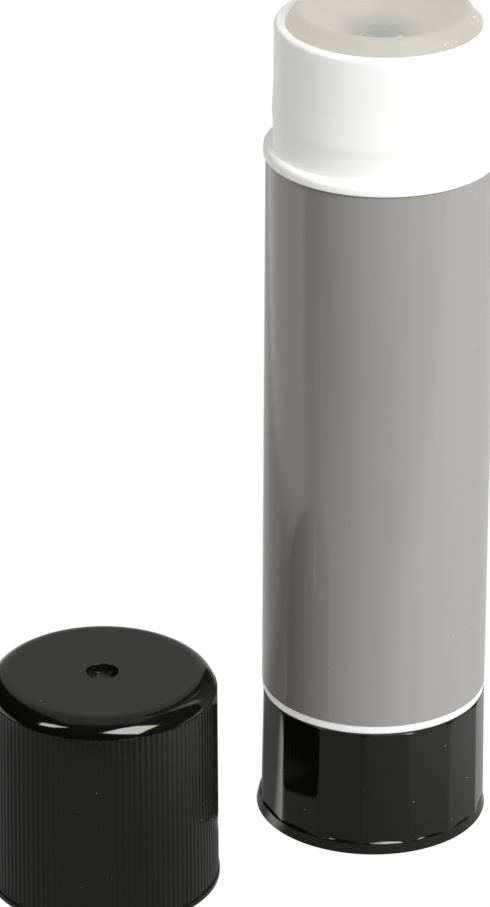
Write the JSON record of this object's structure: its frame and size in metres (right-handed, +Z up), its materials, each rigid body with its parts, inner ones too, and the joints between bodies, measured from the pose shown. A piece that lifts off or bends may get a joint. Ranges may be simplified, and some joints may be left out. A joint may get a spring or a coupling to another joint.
{
  "type": "glue stick",
  "caption": "Glue stick standing on its twist knob: white tube with a plain grey label, a screw that raises the glue on a carrier, and a ribbed black push-on cap standing beside it.",
  "frame": {"origin": "on the stick's axis, in the middle of the twist knob's underside, on the table", "axes": "+Z up along the stick, from the knob towards the glue; -Y is the front, towards the camera; +X is the camera's right"},
  "size_m": [0.0555, 0.0422, 0.0961],
  "materials": {
    "barrel_white": "satin gloss",
    "label_grey": "satin",
    "knob_black": "polished",
    "spindle_black": "plain",
    "carrier_white": "plain",
    "glue_gel": "moist gel",
    "cap_black": "polished top, ribbed satin side"
  },
  "bodies": {
    "barrel": {"barrel": "barrel_white", "label": "label_grey"},
    "knob": {"twist_knob": "knob_black", "spindle": "spindle_black"},
    "carrier": {"carrier": "carrier_white", "glue": "glue_gel"},
    "cap": {"cap": "cap_black"}
  },
  "joints": [
    {"name": "knob_turn", "type": "hinge", "parent": "barrel", "child": "knob", "pos_m": [0, 0, 0], "axis": [0, 0, 1], "range_deg": [-360, 5040]},
    {"name": "glue_rise", "type": "slide", "parent": "barrel", "child": "carrier", "axis": [0, 0, 1], "range_m": [-0.004, 0.056]},
    {"name": "cap_lift", "type": "slide", "parent": "barrel", "child": "cap", "axis": [0, 0, 1], "range_m": [0, 0.06]}
  ],
  "couplings": [
    {"joint": "knob_turn", "follows": "glue_rise", "rad_per_m": 1570.8}
  ]
}
